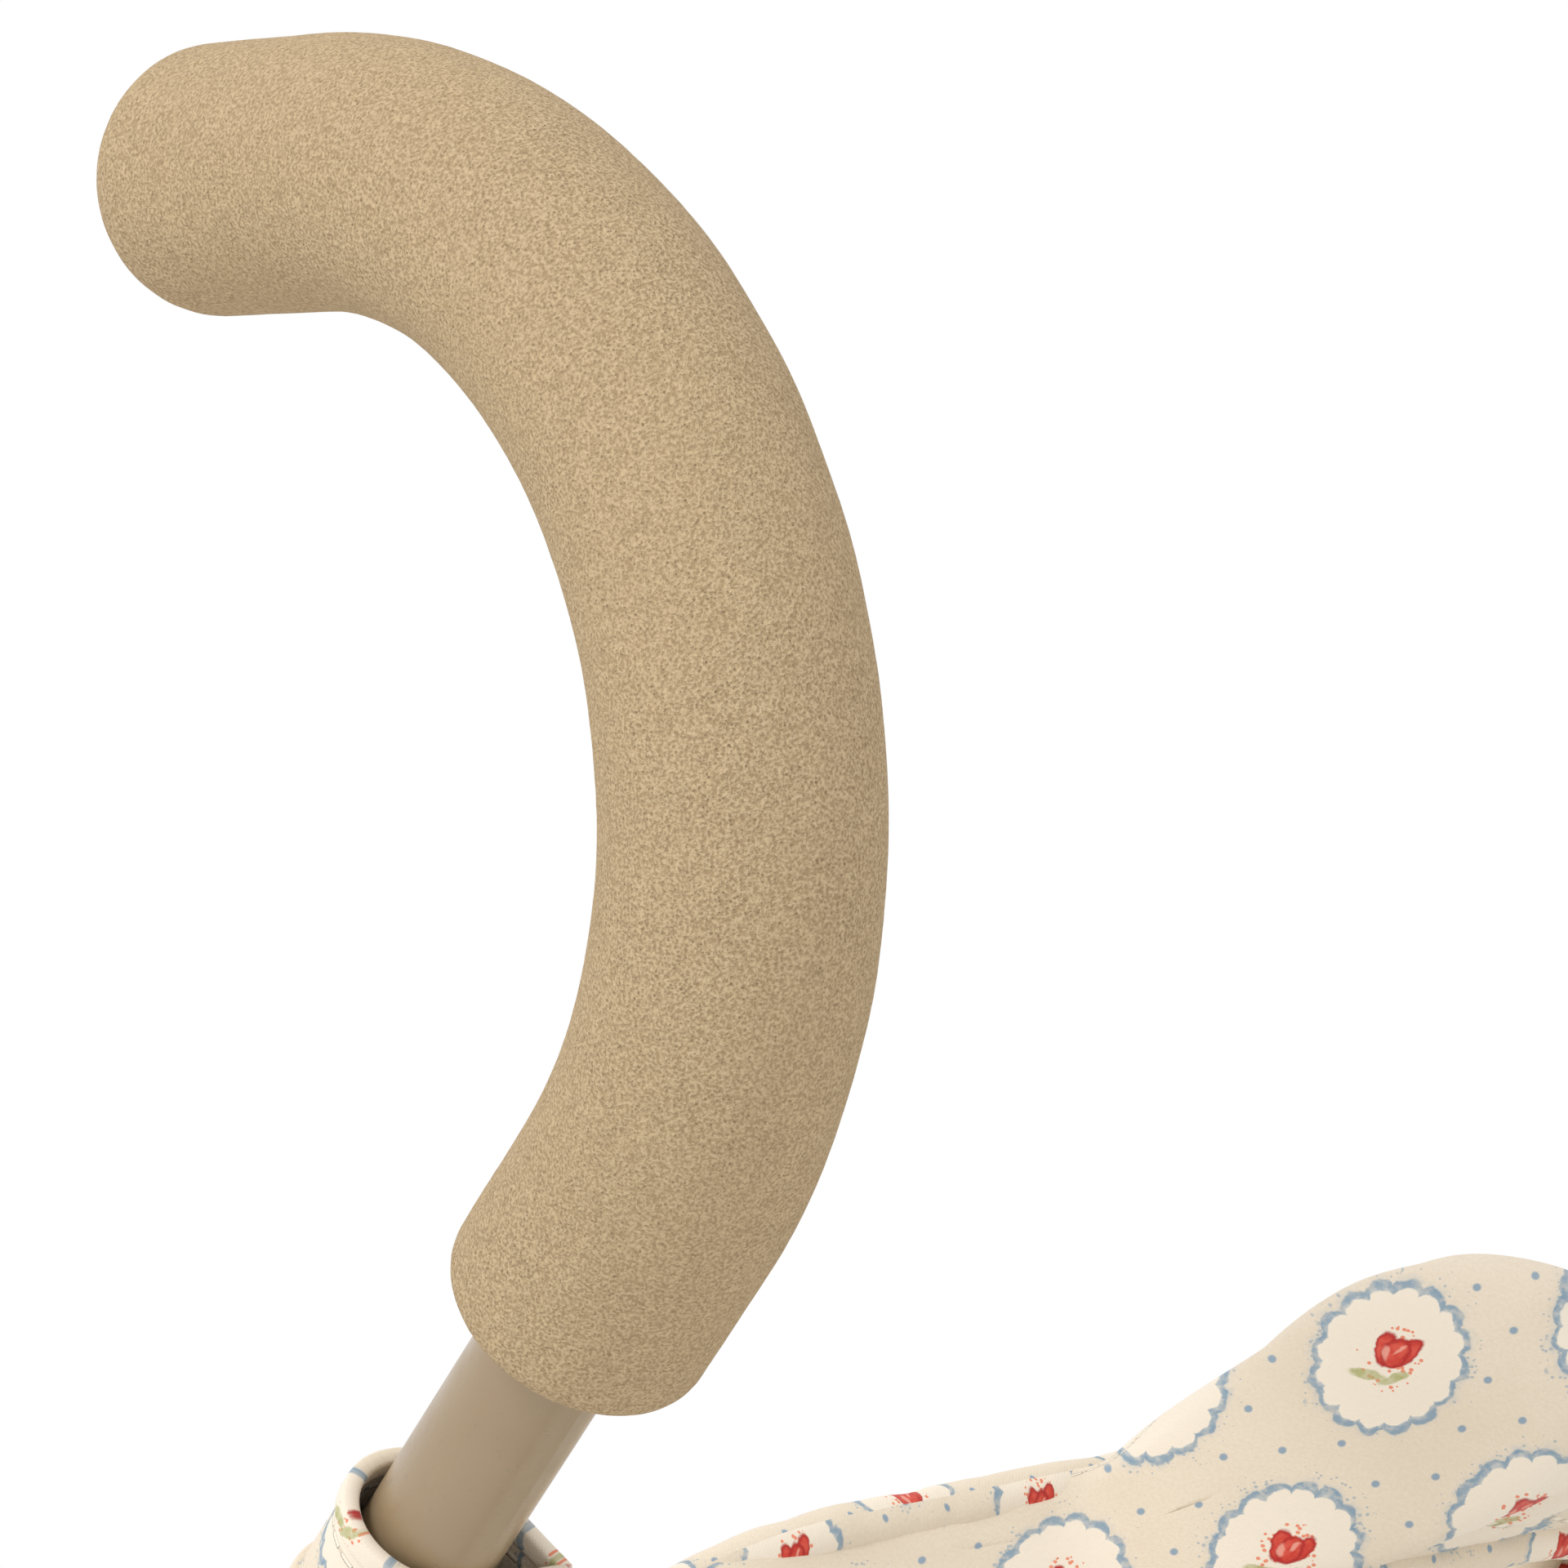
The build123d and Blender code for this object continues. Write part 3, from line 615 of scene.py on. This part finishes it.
def folds_with_frame(piece):
    """Gives the piece its own copy of its mesh."""
    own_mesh(piece)
    return piece


# ---- foam grips ----

for side, x, body in ("left", PUSH_X, "left_frame"), ("right", -PUSH_X, "right_frame"):
    foam_grip(side, x, body)


# ---- straps looped round tubes ----

def teardrop(radius, reach, slack=None):
    """Line of a strap that goes round a tube and closes on itself: distance and angle by a share t."""
    half = math.acos(radius / reach)
    run = math.sqrt(reach * reach - radius * radius)
    arc = (math.tau - 2 * half) * radius
    total = 2 * run + arc

    def at(t):
        s = t * total
        if s < run or s > total - run:
            first = s < run
            share = (run - s) / run if first else (s - (total - run)) / run
            touch = Vector((radius * math.cos(half), radius * math.sin(half) * (1 if first else -1)))
            point = touch.lerp(Vector((reach, 0)), share)
        else:
            a = half + (s - run) / radius
            point = Vector((radius * math.cos(a), radius * math.sin(a)))
        if slack:
            a = math.atan2(point.y, point.x)
            point = point * (1 + slack(a) / radius)
        return point
    return at


def strap_loop(name, centre, toward, axis, radius, reach, width, body, slack=None, hem=0.0045, shift=(0, 0)):
    """A band round a tube, with a folded hem along its upper edge."""
    toward, axis = toward.normalized(), axis.normalized()
    side = axis.cross(toward)
    line = teardrop(radius, reach, slack)

    def place(u, v):
        p = line(u)
        sway = noise.noise(Vector((u * 4, v * 1.5, centre.x * 9))) * 0.0004
        return centre + toward * p.x + side * p.y + axis * (width * (v - 0.5) + sway)

    band = cloth_grid(name, 72, 10, place, STRAP_COTTON, body, 0.0011, hems=("low", "high"), flat_shift=shift)
    rounded(band)

    def edge_fold(v0, v1):
        def fold(u, v):
            p = line(u) * (1 + 0.0002 / radius)
            sway = noise.noise(Vector((u * 4, v1 * 1.5, centre.x * 9))) * 0.0004
            return centre + toward * p.x + side * p.y + axis * (width * (mix(v0, v1, v) - 0.5) + sway)
        return fold

    folds = []
    for tag, v0, v1 in ("upper", 1 - hem / width, 1.004), ("lower", -0.004, hem / width):
        fold = cloth_grid(f"{name}_{tag}_hem", 72, 4, edge_fold(v0, v1), STRAP_COTTON, body, 0.0021,
                          flat_shift=(shift[0], shift[1] + v0 * width))
        folds.append(rounded(fold))
    return band, folds


STRAP_Z = 0.38865
STRAP_REACH = 0.0150
STRAP_WIDTH = 0.0180
TUBE_SIDE = Vector((1, 0, 0))


def back_strap(side, sign, body):
    """Cotton strap from the back rest's corner, up and round the push tube."""
    centre = Vector((sign * PUSH_X, 0, 0)) + on_tube(STRAP_Z)
    toward = Vector((-sign * 0.80, 0, 0)) - TUBE_FRONT * 0.60

    def slack(a):
        # hangs off the tube on the side away from the seat
        return 0.0015 * max(0.0, math.cos(a - math.radians(200))) ** 1.5 + 0.0003

    band, folds = strap_loop(f"back_strap_{side}_loop", centre, toward, TUBE_UP, PUSH_R + 0.0009,
                             STRAP_REACH, STRAP_WIDTH, body, slack, hem=0.0030, shift=(0.011, 0.017))
    start = centre + toward.normalized() * 0.0142
    end = Vector((sign * 0.092, 0.0985, 0.330))

    def tail(u, v):
        s = eased(v) * 0.35 + v * 0.65
        lean = start + toward.normalized() * 0.016
        lift = end + Vector((0, 0.0105, 0.0225))
        middle = (start * (1 - s) ** 3 + lean * 3 * s * (1 - s) ** 2
                  + lift * 3 * s * s * (1 - s) + end * s ** 3)
        across = TUBE_UP.lerp(Vector((-sign * 1.0, 0, 0)), eased(s * 1.15)).normalized()
        half = mix(0.0088, 0.0120, s)
        return middle + across * (half * (1 - 2 * u))

    strip = cloth_grid(f"back_strap_{side}_tail", 8, 30, tail, STRAP_COTTON, body, 0.0020, hems=("sides",),
                       flat_shift=(0.003, 0.02))
    rounded(strip)
    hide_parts(f"back_strap_{side}")
    declared(band, folds)
    declared(strip)


back_strap("left", 1, "left_frame")
back_strap("right", -1, "right_frame")


# ---- seat ----

SEAT_EDGE = 0.097


def seat_place(u, v):
    """Cotton slung between the rails, lowest in its middle."""
    x = SEAT_EDGE * (1 - 2 * u)
    p = SEAT_FRONT.lerp(SEAT_REAR, v)
    sag = (1 - (x / SEAT_EDGE) ** 2) * (0.004 + 0.005 * math.sin(math.pi * v))
    ripple = noise.noise(Vector((x * 28, v * 2.2, 1.0))) * 0.0016 * (1 - abs(x / SEAT_EDGE) ** 6)
    pull = noise.noise(Vector((x * 6, v * 9.0, 5.0))) * 0.0012
    return Vector((x, p.y, p.z + 0.0004 - sag + ripple + pull))


def rail_casing(side, sign, y0, y1, body):
    """Sleeve of cotton sewn round a seat rail."""
    toward = Vector((-sign * 0.0110, 0, -0.0095))
    reach = toward.length
    toward.normalize()
    along = (on_rail(y1) - on_rail(y0)).normalized()
    side_way = along.cross(toward)
    line = teardrop(0.0071, reach, lambda a: 0.0004)

    def place(u, v):
        p = line(u)
        y = mix(y0, y1, v)
        centre = Vector((sign * LEG_X, 0, 0)) + on_rail(y)
        share = (y - SEAT_FRONT.y) / (SEAT_REAR.y - SEAT_FRONT.y)
        drop = mix(SEAT_FRONT.z, SEAT_REAR.z, share) - centre.z + 0.0095
        wrinkle = noise.noise(Vector((u * 3, y * 60, sign * 4))) * 0.0004
        weight = max(0.0, p.x / reach) ** 2
        return centre + toward * (p.x + wrinkle) + side_way * p.y + Vector((0, 0, drop * weight))

    end = "front" if y0 < -0.06 else "rear"
    return rounded(cloth_grid(f"rail_casing_{side}_{end}", 48, 26, place, STRAP_COTTON, body, 0.0010,
                              hems=("low", "high")))


casings = []
for side, sign, body in ("left", 1, "left_frame"), ("right", -1, "right_frame"):
    for y0, y1 in (-0.103, -0.052), (-0.018, 0.039):
        casing = rail_casing(side, sign, y0, y1, body)
        declared(casing)
        casings.append(casing)

seat = cloth_grid("seat_cotton", 90, 64, seat_place, STRAP_COTTON, "left_frame", 0.0014, hems=("low", "high"))
rounded(seat)


def edge_of(place, v0, v1, lift=0.0):
    def band(u, v):
        return place(u, mix(v0, v1, v)) + Vector((0, 0, lift))
    return band


seat_hem = rounded(cloth_grid("seat_front_hem", 90, 4, edge_of(seat_place, -0.004, 0.034), STRAP_COTTON,
                              "left_frame", 0.0026))


def back_place(u, v):
    """Back rest: hollowed a little and pulled up at its top corners."""
    x = 0.094 * (1 - 2 * u)
    p = BACK_LOW.lerp(BACK_TOP, v)
    outward = Vector((0, 0.9116, -0.4111))
    edge = abs(x / 0.094)
    hollow = (1 - edge ** 2) * (0.0025 + 0.0055 * math.sin(math.pi * min(1.0, v * 0.92)))
    ripple = noise.noise(Vector((x * 26, v * 2.5, 8.0))) * 0.0015 * (1 - edge ** 4)
    drag = noise.noise(Vector((x * 7, v * 8.0, 2.0))) * 0.0010
    dip = -0.0055 * (1 - edge ** 2.5) * v ** 3
    along = (BACK_TOP - BACK_LOW).normalized()
    return Vector((x, p.y, p.z)) + outward * (hollow + ripple + drag) + along * dip


back = rounded(cloth_grid("back_cotton", 90, 66, back_place, STRAP_COTTON, "left_frame", 0.0014,
                          hems=("low", "high", "sides")))
back_hem = rounded(cloth_grid("back_top_hem", 90, 4, edge_of(back_place, 0.964, 1.004), STRAP_COTTON,
                              "left_frame", 0.0026))


def joining_seam(u, v):
    """Rolled seam where the seat meets the back rest."""
    a = seat_place(u, 1.0)
    b = back_place(u, 0.0)
    t = math.pi * (v * 1.5 - 0.25)
    middle = a.lerp(b, 0.5)
    half = max(0.0030, (b - a).length * 0.5 + 0.0012)
    return middle + Vector((0, -math.cos(t) * half, math.sin(t) * 0.0024))


seat_seam = rounded(cloth_grid("seat_back_seam", 90, 8, joining_seam, STRAP_COTTON, "left_frame", 0.0014))


def belt_place(u, v):
    """Slack lap strap lying across the seat."""
    x = 0.090 * (1 - 2 * u)
    y = mix(-0.002, 0.016, v) + 0.006 * math.sin(x * 21 + 0.6)
    seat_v = (y - SEAT_FRONT.y) / (SEAT_REAR.y - SEAT_FRONT.y)
    under = seat_place((1 - x / SEAT_EDGE) / 2, seat_v)
    wave = 0.0022 * (0.5 + 0.5 * math.sin(x * 95 + 1.0)) * (1 - (x / 0.090) ** 4)
    return Vector((x, y, under.z + 0.0018 + wave))


belt = rounded(cloth_grid("lap_belt_cotton", 80, 8, belt_place, STRAP_COTTON, "left_frame", 0.0016,
                          hems=("low", "high")))
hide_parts("seat_base")
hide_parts("seat_back")
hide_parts("lap_belt")
declared(seat, [seat_hem, seat_seam])
declared(back, [back_hem])
declared(belt)
for piece in (seat, seat_hem, belt):
    folds_with_frame(piece)
for piece in (back, back_hem, seat_seam):
    folds_with_frame(piece)


# ---- foot strap ----

FOOT_Z = 0.1315
FOOT_WIDTH = 0.031
FOOT_END = 0.1105
for side, sign, body in ("left", 1, "left_frame"), ("right", -1, "right_frame"):
    centre = Vector((sign * PUSH_X, 0, 0)) + on_tube(FOOT_Z)
    loop, folds = strap_loop(f"foot_strap_{side}_loop", centre, Vector((-sign, 0, 0)), TUBE_UP,
                             PUSH_R + 0.0010, PUSH_X - FOOT_END + 0.0012, FOOT_WIDTH, body,
                             lambda a: 0.0004)
    declared(loop, folds)


def foot_place(u, v):
    x = FOOT_END * (1 - 2 * u)
    middle = on_tube(FOOT_Z)
    slack = (1 - (x / FOOT_END) ** 2) * 0.0045
    ripple = noise.noise(Vector((x * 22, v * 1.2, 3.0))) * 0.0012 * (1 - (x / FOOT_END) ** 4)
    return (Vector((x, 0, 0)) + middle + TUBE_UP * (FOOT_WIDTH * (v - 0.5) - slack * 0.5)
            - TUBE_FRONT * (slack + ripple))


foot = rounded(cloth_grid("foot_strap_cotton", 84, 10, foot_place, STRAP_COTTON, "left_frame", 0.0022,
                          hems=("low", "high")))
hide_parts("foot_strap")
declared(foot)
folds_with_frame(foot)


# ---- hood ----

def hood_dir(angle):
    return Vector((0, math.cos(angle), math.sin(angle)))


def in_hood(x, reach, angle):
    """A point from its distance across, its distance from the pivots and its angle above the back."""
    return HOOD_PIVOT + Vector((x, 0, 0)) + hood_dir(angle) * reach


def bow_wire(name, angle, node):
    """Round wire bow, bent at two corners, with its ends in the hubs."""
    bm = bmesh.new()
    up = hood_dir(angle)
    facing = Vector((1, 0, 0)).cross(up)
    ring = ring_of(bm, HOOD_PIVOT + Vector((BOW_X, 0, 0)) + up * 0.0125, up, BOW_R, 16)
    bmesh.ops.edgeloop_fill(bm, edges=ring)
    side_run = BOW_REACH - BOW_CORNER - 0.0125
    ring = drawn_on(bm, ring, up * side_run)
    for corner_x, run in (BOW_X - BOW_CORNER, 2 * (BOW_X - BOW_CORNER)), (-(BOW_X - BOW_CORNER), None):
        centre = HOOD_PIVOT + Vector((corner_x, 0, 0)) + up * (BOW_REACH - BOW_CORNER)
        ring = bent_on(bm, ring, centre, facing, math.pi / 2, 20)
        if run:
            for step in range(12):
                ring = drawn_on(bm, ring, Vector((-run / 12, 0, 0)))
    ring = drawn_on(bm, ring, -up * side_run)
    bmesh.ops.edgeloop_fill(bm, edges=ring)
    kept_faces_out(bm)
    piece = as_piece(name, bm, STEEL, "hood")
    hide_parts(node)
    folds_with_frame(piece)
    return piece


bow_wire("rear_bow_wire", HOOD_ANGLE - BOW_SPREAD, "rear_bow")
bow_wire("front_bow_wire", HOOD_ANGLE + BOW_SPREAD, "front_bow")

HOOD_START = 0.024
HEM_OUT = 0.0023          # cotton outside the bow's own axis


def hem_line(t):
    """(across, reach) of the hood's hem, round the outside of a bow."""
    x, top = BOW_X + HEM_OUT, BOW_REACH + HEM_OUT
    s = (1 - abs(1 - 2 * t)) * HEM_TOTAL
    if s < HEM_SIDE:
        p = (x, HOOD_START + s)
    elif s < HEM_TOTAL - HEM_FLAT:
        a = (s - HEM_SIDE) / CORNER_OUT
        p = (x - CORNER_OUT + CORNER_OUT * math.cos(a), top - CORNER_OUT + CORNER_OUT * math.sin(a))
    else:
        p = (HEM_TOTAL - s, top)
    return Vector((p[0] if t <= 0.5 else -p[0], p[1]))


HOOD_LEAN = math.radians(5)
HOOD_SHIFT = (0.0063, 0.0073)
PRINT_ACROSS = Vector((-0.7615, 0.6481, 0)) * 0.85
PRINT_UP = Vector((-0.0936, -0.110, 0.9895)) * 1.09
PRINT_LEAN = math.radians(22)

# the puffed crest, in millimetres across and out from the pivots
# a low run, a steep even ramp to the full puff, then a long fall to the other side
CREST = [(96, 24), (98, 42), (90, 65), (70, 75), (45, 76), (17, 77), (9, 86), (1, 106), (-7, 126),
         (-15, 134), (-30, 130), (-47, 116), (-68, 99), (-88, 78), (-97, 42), (-96, 24)]
CORNER_OUT = BOW_CORNER + HEM_OUT
HEM_SIDE = BOW_REACH + HEM_OUT - CORNER_OUT - HOOD_START
HEM_FLAT = BOW_X + HEM_OUT - CORNER_OUT
HEM_TOTAL = HEM_SIDE + CORNER_OUT * math.pi / 2 + HEM_FLAT


def crest_table():
    """Where each crest point goes along the hem, so that the cloth runs straight between the bows."""
    runs = [0.0]
    for a, b in zip(CREST, CREST[1:]):
        runs.append(runs[-1] + math.dist(a, b))
    first = max(i for i, p in enumerate(CREST) if p[0] * MM >= HEM_FLAT)
    last = min(i for i, p in enumerate(CREST) if p[0] * MM <= -HEM_FLAT)
    table = []
    for i, (x, _) in enumerate(CREST):
        corner, rest = (first, (runs[first] - runs[i]) / runs[first])
        if i >= last:
            corner, rest = (last, (runs[i] - runs[last]) / (runs[-1] - runs[last]))
        from_middle = x * MM
        if rest > 0 and not first < i < last:
            edge_x = CREST[corner][0] * MM
            from_middle = edge_x + (math.copysign(HEM_TOTAL, edge_x) - edge_x) * rest
        table.append(0.5 - from_middle / (2 * HEM_TOTAL))
    return table


CREST_SHARES = crest_table()


def crest_line(t):
    for i in range(len(CREST) - 1):
        if t <= CREST_SHARES[i + 1] or i == len(CREST) - 2:
            f = (t - CREST_SHARES[i]) / (CREST_SHARES[i + 1] - CREST_SHARES[i])
            p = curve_through(CREST, (i + f) / (len(CREST) - 1))
            return Vector((p[0], p[1])) * MM


def hood_place(u, v):
    """Cotton bunched up between the two bows: hem, puffed back, crest, front, hem."""
    hem, top = hem_line(u), crest_line(u)
    phi = math.pi * v
    rise = max(0.0, math.sin(phi))
    share = rise ** 0.85
    x = mix(hem.x, top.x, share)
    reach = mix(hem.y, top.y, share)
    puff = 1 + (0.85 if v < 0.5 else 0.25) * rise * eased((top.y - 0.07) / 0.05)
    lean = HOOD_LEAN * rise ** 1.5 * eased((top.y - 0.07) / 0.05)
    angle = HOOD_ANGLE - BOW_SPREAD * math.cos(phi) * puff - lean
    point = in_hood(x, reach, angle)
    back = -hood_dir(angle + math.pi / 2)
    outward = back if v < 0.5 else -back
    live = rise * eased((reach - 0.04) / 0.04)
    # soft folds that run from the crest down to the hems
    folds = (noise.noise(Vector((x * 34 + v * 2.2, v * 2.6, 4.0))) * 0.0046
             + noise.noise(Vector((x * 70 - v * 3.0, v * 5.0, 9.0))) * 0.0016)
    gathers = math.sin(x * 520 + 2.4 * noise.noise(Vector((x * 40, v * 3, 1))))
    gathers = gathers * 0.0009 * (1 - rise) * min(1.0, rise * 6)
    return point + outward * (folds * live + gathers)


def bow_sleeve(angle):
    """Hem of the hood, folded right round a bow."""
    facing = hood_dir(angle + math.pi / 2)

    def place(u, v):
        here = hem_line(u)
        along = hem_line(min(1.0, u + 0.002)) - hem_line(max(0.0, u - 0.002))
        out = Vector((along.y, -along.x)).normalized()
        if here.y < HOOD_START + HEM_SIDE:
            out = Vector((math.copysign(1, 0.5 - u), 0))
        if out.dot(Vector((here.x, here.y - 0.03))) < 0:
            out = -out
        turn = math.tau * v
        size = 0.0029 + 0.0004 * noise.noise(Vector((u * 60, math.cos(turn), math.sin(turn))))
        middle = here - out * HEM_OUT
        spot = middle + out * (size * math.cos(turn))
        return in_hood(spot.x, spot.y, angle) + facing * (size * math.sin(turn))
    return place


def hood_print(spot):
    """Where the print lies on the puffed hood: square to its fullest side, and leaned a little."""
    across, up = spot.dot(PRINT_ACROSS), spot.dot(PRINT_UP)
    return (across * math.cos(PRINT_LEAN) - up * math.sin(PRINT_LEAN) + HOOD_SHIFT[0],
            across * math.sin(PRINT_LEAN) + up * math.cos(PRINT_LEAN) + HOOD_SHIFT[1])


hood = cloth_grid("hood_cotton", 240, 120, hood_place, HOOD_COTTON, "hood", 0.0011, hems=("low", "high"),
                  print_at=hood_print)
rounded(hood)
hood_hems = []
for name, angle in ("hood_rear_hem", HOOD_ANGLE - BOW_SPREAD), ("hood_front_hem", HOOD_ANGLE + BOW_SPREAD):
    hood_hems.append(rounded(cloth_grid(name, 160, 16, bow_sleeve(angle), HOOD_COTTON, "hood", 0.0009,
                                        closed=True)))
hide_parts("hood")
declared(hood, hood_hems)
for piece in [hood] + hood_hems:
    folds_with_frame(piece)


# ---- floor, lights and camera ----

def floor_finish():
    f = Finish("pale_floor", Roughness=0.7, Specular_IOR_Level=0.2)
    at = f.place()
    f.set("Base Color", f.blend(f.clouds(at, 3.0, 2.0), dye(236, 235, 232), dye(240, 239, 236)))
    return f.material


bm = bmesh.new()
bmesh.ops.create_circle(bm, cap_ends=True, segments=96, radius=1.25)
floor_mesh = bpy.data.meshes.new("floor")
bm.to_mesh(floor_mesh)
bm.free()
floor_mesh.materials.append(floor_finish())
floor = bpy.data.objects.new("floor", floor_mesh)
scene.collection.objects.link(floor)
floor.location.z = -0.0002

world = bpy.data.worlds.new("studio")
scene.world = world
world.use_nodes = True
world.node_tree.nodes["Background"].inputs["Color"].default_value = (1.0, 1.0, 1.0, 1.0)
world.node_tree.nodes["Background"].inputs["Strength"].default_value = 1.0


def softbox(name, place, aim, size, power):
    lamp = bpy.data.lights.new(name, "AREA")
    lamp.shape = "DISK"
    lamp.size = size
    lamp.energy = power
    box = bpy.data.objects.new(name, lamp)
    scene.collection.objects.link(box)
    box.location = place
    box.rotation_euler = (Vector(aim) - Vector(place)).to_track_quat("-Z", "Y").to_euler()
    return box


VIEW_BACK = Vector((0.6413, 0.7535, 0.1444)).normalized()
VIEW_RIGHT = Vector((-0.7615, 0.6481, 0.0)).normalized()
VIEW_UP = VIEW_BACK.cross(VIEW_RIGHT)
MIDDLE = Vector((0.06, 0.06, 0.42))
softbox("key", MIDDLE + VIEW_BACK * 0.9 + VIEW_UP * 0.85 - VIEW_RIGHT * 0.7, MIDDLE, 0.5, 7.6)
softbox("fill", MIDDLE - VIEW_BACK * 0.9 + VIEW_UP * 1.1 - VIEW_RIGHT * 0.3, MIDDLE, 0.9, 2.5)

camera_data = bpy.data.cameras.new("camera")
camera = bpy.data.objects.new("camera", camera_data)
scene.collection.objects.link(camera)
camera_data.lens = 185.96
camera_data.sensor_width = 36.0
camera_data.clip_start = 0.05
camera_data.clip_end = 20.0
turn = Matrix((VIEW_RIGHT, VIEW_UP, VIEW_BACK)).transposed().to_4x4()
camera.matrix_world = Matrix.Translation((0.66717, 0.81034, 0.60699)) @ turn
scene.camera = camera
scene.view_settings.view_transform = "Standard"
